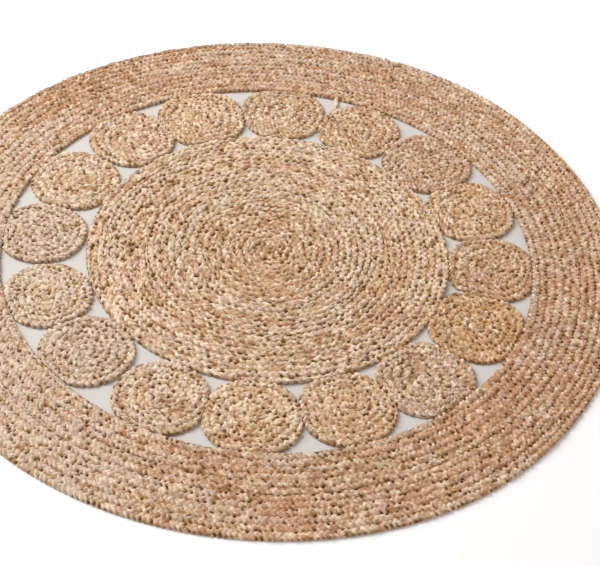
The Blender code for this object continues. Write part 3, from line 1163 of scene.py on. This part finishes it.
@dataclass(frozen=True)
class Border:
    """The wide border, wound from two lengths of braid round the ring of medallions."""

    node: str = "border"
    rounds: int = 12
    tone: JuteTone = JuteTone.BORDER
    plait: Plait = Plait(stitch=0.0086, pit=0.62, pit_share=0.60, pit_width=0.21)
    # Anticlockwise from +X. Paler and greyer towards the near left, partly the jute's own tone and partly a
    # painted haze of reflected light
    inner_tones: tuple[ToneAt, ...] = (
        ToneAt(0, -0.42, -0.1), ToneAt(45, -0.06, -0.2), ToneAt(90, -0.46, -0.4), ToneAt(125, -0.98, -0.1),
        ToneAt(138, -0.90, -0.3), ToneAt(150, -0.36, -0.6), ToneAt(210, 0.42, -1.3), ToneAt(225, 0.28, -1.1),
        ToneAt(240, 0.46, -1.1), ToneAt(255, -0.37, -0.2), ToneAt(270, -0.22, -0.2), ToneAt(300, -0.32, 0.0),
        ToneAt(340, -0.46, 0.3),
    )
    outer_tones: tuple[ToneAt, ...] = (
        ToneAt(0, 0.02, 0.4), ToneAt(45, 0.00, 0.2), ToneAt(90, -0.76, -0.4), ToneAt(118, -0.70, -0.4),
        ToneAt(128, -1.30, 0.2), ToneAt(143, -1.30, 0.2), ToneAt(153, 0.00, -0.6), ToneAt(195, 0.00, -0.4),
        ToneAt(230, 0.60, -1.2), ToneAt(245, 0.82, -1.2), ToneAt(260, -0.10, -0.4), ToneAt(290, -0.04, 0.2),
        ToneAt(330, -0.24, 0.5),
    )
    # How far the rim lies outside a circle, every 30 degrees anticlockwise from +X
    strays: tuple[float, ...] = (
        -0.008, -0.003, 0.004, -0.004, -0.010, -0.007, -0.003, 0.000, 0.000, 0.000, 0.000, -0.009,
    )

    def build(self) -> None:
        """Winds both lengths and settles them in the frame."""
        radii = node_radii(self.node)
        low, high = float(radii.min()), float(radii.max())
        join = (low + high) / 2
        finish = self.tone.value
        half = self.rounds // 2
        rim = Outline(np.zeros(2), high + np.array(self.strays), high, still=join)
        first = Coil(
            "border_inner", low, join, half, first_angle=4.4, seed=21, step=BORDER_STEP,
            outer_bulge=JOIN_BULGE, tones=self.inner_tones, tones_run=Run.ROUND, plait=self.plait,
            beside=(Outline.circle(join), *medallion_outlines()),
        )
        second = Coil(
            "border_outer", join, high, self.rounds - half, first_angle=0.9, seed=22, step=BORDER_STEP,
            outline=rim, inner_bulge=JOIN_BULGE, tones=self.outer_tones, tones_run=Run.ROUND,
            plait=self.plait, beside=(Outline.circle(join),),
        )
        for coil in (first, second):
            settle(coil.wind(finish), self.node)


class Winding(NamedTuple):
    """The jute that one medallion is wound from."""

    tone: JuteTone
    paleness: float
    warmth: float


@dataclass(frozen=True)
class MedallionRing:
    """Sixteen small coils between the disc and the border, each pressed between its neighbours."""

    rounds: int = 6
    seed: int = 5
    first_coil_seed: int = 101
    plait: Plait = Plait(stitch=0.0098, pit=0.50, pit_share=0.70, pit_width=0.24)
    # Medallions 10 to 13 are paler and greyer, partly their jute's own tone and partly a painted haze of
    # reflected light
    windings: tuple[Winding, ...] = (
        Winding(JuteTone.STRAW, -0.50, -0.2), Winding(JuteTone.GOLDEN, -0.19, -0.4),
        Winding(JuteTone.BROWN, -0.01, 0.3), Winding(JuteTone.GOLDEN, -0.02, 0.1),
        Winding(JuteTone.TAN, -0.45, 0.5), Winding(JuteTone.GOLDEN, -0.37, 0.5),
        Winding(JuteTone.BROWN, -0.03, 0.1), Winding(JuteTone.STRAW, 0.05, 0.3),
        Winding(JuteTone.GOLDEN, 0.22, -0.2), Winding(JuteTone.TAN, 0.32, -0.4),
        Winding(JuteTone.BROWN, 0.27, -0.9), Winding(JuteTone.STRAW, 0.48, -1.3),
        Winding(JuteTone.BROWN, 0.48, -1.1), Winding(JuteTone.STRAW, -0.09, -0.3),
        Winding(JuteTone.TAN, 0.11, -0.3), Winding(JuteTone.STRAW, -0.05, 0.0),
    )

    def build(self) -> None:
        """Winds each medallion to its solid's outline and settles it in the frame."""
        draw = np.random.default_rng(self.seed)
        disc_edge = float(node_radii(CentreDisc.node).max())
        border_edge = float(node_radii(Border.node).min())
        circles = (Outline.circle(disc_edge), Outline.circle(border_edge))
        outlines = medallion_outlines()
        for index, (tone, paleness, warmth) in enumerate(self.windings):
            name = f"medallion_{index + 1:02d}"
            outline = outlines[index]
            coil = Coil(
                f"{name}_coil", 0.0, outline.free, self.rounds, first_angle=float(draw.uniform(0.0, TURN)),
                seed=self.first_coil_seed + index, outline=outline, tones=(ToneAt(0.0, paleness, warmth),),
                plait=self.plait, beside=circles + outlines[:index] + outlines[index + 1 :],
            )
            settle(coil.wind(tone.value), name)


@dataclass(frozen=True)
class LooseStrand:
    """A strand drawn out of the border's inner edge, which crosses one gap to the medallions beyond it."""

    name: str = "loose_strand"
    tone: JuteTone = JuteTone.STRAW
    path: tuple[tuple[float, float, float], ...] = (
        (0.0990, 0.4490, 0.0060), (0.0979, 0.4361, 0.0035), (0.0972, 0.4200, 0.0028),
        (0.0952, 0.4010, 0.0030), (0.0924, 0.3861, 0.0055), (0.0915, 0.3800, 0.0060),
    )
    width: float = 0.0075
    height: float = 0.0045
    rings: int = 48
    sides: int = 14
    twists: float = 2.5
    ply: float = 0.16  # how much its two plies stand out, as a share of its size
    taper: float = 0.15  # of its length, at either end
    tip: float = 0.2  # its size at either end, as a share of its full size
    lowest: float = 0.0003  # above the rug's underside
    paleness: float = -0.05
    warmth: float = -0.9
    seed: float = 31.0
    plait: Plait = Plait()
    spread: float = 0.1  # to either side of a braid's middle, where its fibre is taken from

    # Where it lies on the bake's map
    map_margin: float = 0.02
    map_rows: tuple[tuple[str, float], ...] = (("top", 0.75), ("under", 0.25))
    map_reach: float = 0.2

    def build(self) -> None:
        """Lays the strand in the gap."""
        share = np.linspace(0.0, 1.0, self.rings)[:, None]
        knots = np.array(self.path)
        along = np.linspace(0.0, 1.0, len(knots))
        middle = np.stack([np.interp(share[:, 0], along, column) for column in knots.T], axis=-1)
        way = np.gradient(middle[:, :2], axis=0)
        way /= np.linalg.norm(way, axis=1, keepdims=True)
        round_it = TURN * np.arange(self.sides)[None, :] / self.sides
        size = self.tip + (1.0 - self.tip) * smooth(np.minimum(share, 1.0 - share) / self.taper)
        size = size * (1.0 + self.ply * np.cos(2 * round_it - TURN * self.twists * share))
        aside = self.width / 2 * size * np.cos(round_it)
        height = np.maximum(middle[:, 2:] + self.height / 2 * size * np.sin(round_it), self.lowest)
        x, y = middle[:, :1] - way[:, 1:] * aside, middle[:, 1:2] + way[:, :1] * aside
        place = np.stack([x, y, height], axis=-1)
        self.close(place, share * np.ones_like(aside), np.cos(round_it) * np.ones_like(aside))

    def close(self, place: np.ndarray, share: np.ndarray, across: np.ndarray) -> None:
        """Makes the closed mesh from rings of points and settles it in the frame.

        Args:
            place: The points, one row for each ring.
            share: How far along the strand each lies.
            across: How far aside each lies, from -1 to 1.
        """
        shell = Shell()
        length = float(np.linalg.norm(np.diff(np.array(self.path), axis=0), axis=1).sum())
        tone = np.full_like(share, self.paleness)
        u = self.map_margin + (1.0 - 2 * self.map_margin) * share
        values = {
            "place": place,
            "braid": np.stack([share * length / self.plait.period, across * self.spread, tone], axis=-1),
            "raised": np.full_like(share, CLEAR_OF_SHADE),
            "warmth": np.full_like(share, self.warmth),
        }
        for chart, row in self.map_rows:
            values[chart] = np.stack([u, row + self.map_reach * across], axis=-1)
        ids = shell.add_points(**values)
        ring, onward = ids[:-1], ids[1:]
        quads = np.stack([ring, onward, np.roll(onward, -1, axis=1), np.roll(ring, -1, axis=1)], axis=-1)
        half = self.sides // 2
        shell.add_faces(quads[:, :half].reshape(-1, 4), "top", seam=True)
        shell.add_faces(quads[:, half:].reshape(-1, 4), "under", seam=True)
        for end, flip in ((0, True), (-1, False)):
            middle = {name: value[end].mean(axis=0)[None] for name, value in values.items()}
            tip = shell.add_points(**middle)
            fan = np.stack([np.full(self.sides, tip[0]), np.roll(ids[end], -1), ids[end]], axis=-1)
            shell.add_faces(fan[:half], "top", seam=True, flip=flip)
            shell.add_faces(fan[half:], "under", seam=True, flip=flip)
        finish = self.tone.value
        surface = JuteSurface(self.name + "_jute", finish, self.plait, self.seed)
        piece = shell.build(self.name, surface.dress())
        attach(piece, "root")


# ---------------------------------------------------------------- camera, floor and light


@dataclass(frozen=True)
class PhotoCamera:
    """The camera that fits the photograph's rim and gaps."""

    target: tuple[float, float, float] = (0.0569, -0.0701, 0.0)
    distance: float = 2.589
    elevation_degrees: float = 43.5355
    roll_degrees: float = 4.5925
    lens_mm: float = 94.57
    sensor_mm: float = 36.0

    def set_up(self) -> None:
        """Makes it the scene's camera."""
        elevation = math.radians(self.elevation_degrees)
        away = Vector((0.0, -math.cos(elevation), math.sin(elevation)))
        data = bpy.data.cameras.new("photo_camera")
        data.lens = self.lens_mm
        data.sensor_width = self.sensor_mm
        camera = bpy.data.objects.new("photo_camera", data)
        bpy.context.scene.collection.objects.link(camera)
        camera.location = Vector(self.target) + away * self.distance
        level = (-away).to_track_quat("-Z", "Y").to_matrix()
        turned = level @ Matrix.Rotation(math.radians(self.roll_degrees), 3, "Z")
        camera.rotation_euler = turned.to_euler()
        bpy.context.scene.camera = camera


@dataclass(frozen=True)
class Studio:
    """A plain pale floor, greyer under the rug, a large soft light from the far left and a pale surround."""

    floor_size: float = 40.0
    floor_drop: float = 0.0003  # below the rug's underside
    floor_roughness: float = 0.8
    floor_color: tuple[float, float, float] = (0.95, 0.95, 0.95)
    under_color: tuple[float, float, float] = (0.595, 0.572, 0.54)
    under_radius: float = 0.575  # within which the floor is greyer
    under_edge: float = 0.015  # outside that, over which it turns pale
    surround_color: tuple[float, float, float] = (1.0, 0.98, 0.96)
    surround_strength: float = 0.55
    light_place: tuple[float, float, float] = (-2.9, 1.2, 3.0)
    light_size: float = 3.0
    light_watts: float = 205.0

    def set_up(self) -> None:
        """Lays the floor, hangs the light and shows colours as they are."""
        self.lay_floor()
        self.hang_light()
        bpy.context.scene.view_settings.view_transform = "Standard"

    def lay_floor(self) -> None:
        """Lays the floor, greyer where the rug lies."""
        half = self.floor_size / 2
        mesh = bpy.data.meshes.new("floor")
        corners = [(-half, -half, 0.0), (half, -half, 0.0), (half, half, 0.0), (-half, half, 0.0)]
        mesh.from_pydata(corners, [], [(0, 1, 2, 3)])
        floor = bpy.data.objects.new("floor", mesh)
        floor.location.z = -self.floor_drop
        bpy.context.scene.collection.objects.link(floor)
        material = bpy.data.materials.new("pale_floor")
        material.use_nodes = True
        shader = material.node_tree.nodes["Principled BSDF"]
        shader.inputs["Roughness"].default_value = self.floor_roughness
        wiring = Wiring(material.node_tree)
        spot = wiring.node("ShaderNodeTexCoord").outputs["Object"]
        radius = wiring.node("ShaderNodeVectorMath", {0: spot}, operation="LENGTH").outputs["Value"]
        outside = wiring.span(radius, Span(self.under_radius, self.under_radius + self.under_edge))
        colour = wiring.colour(outside, self.under_color, self.floor_color)
        material.node_tree.links.new(colour, shader.inputs["Base Color"])
        mesh.materials.append(material)
        floor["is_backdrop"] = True

    def hang_light(self) -> None:
        """Hangs the soft light and makes the surround glow."""
        world = bpy.data.worlds.new("surround")
        world.use_nodes = True
        background = world.node_tree.nodes["Background"]
        background.inputs["Color"].default_value = (*self.surround_color, 1.0)
        background.inputs["Strength"].default_value = self.surround_strength
        bpy.context.scene.world = world

        data = bpy.data.lights.new("window_light", "AREA")
        data.shape = "SQUARE"
        data.size = self.light_size
        data.energy = self.light_watts
        light = bpy.data.objects.new("window_light", data)
        light.location = self.light_place
        light.rotation_euler = (-Vector(self.light_place)).to_track_quat("-Z", "Y").to_euler()
        bpy.context.scene.collection.objects.link(light)


def main() -> None:
    """Builds the rug, piece by piece, and the room round it."""
    logging.basicConfig(level=logging.INFO, format="%(name)s: %(message)s")
    PhotoCamera().set_up()
    Studio().set_up()
    for part in (CentreDisc(), MedallionRing(), Border(), LooseStrand()):
        part.build()
        LOG.info("%s done", type(part).__name__)


if __name__ == "__main__":
    main()
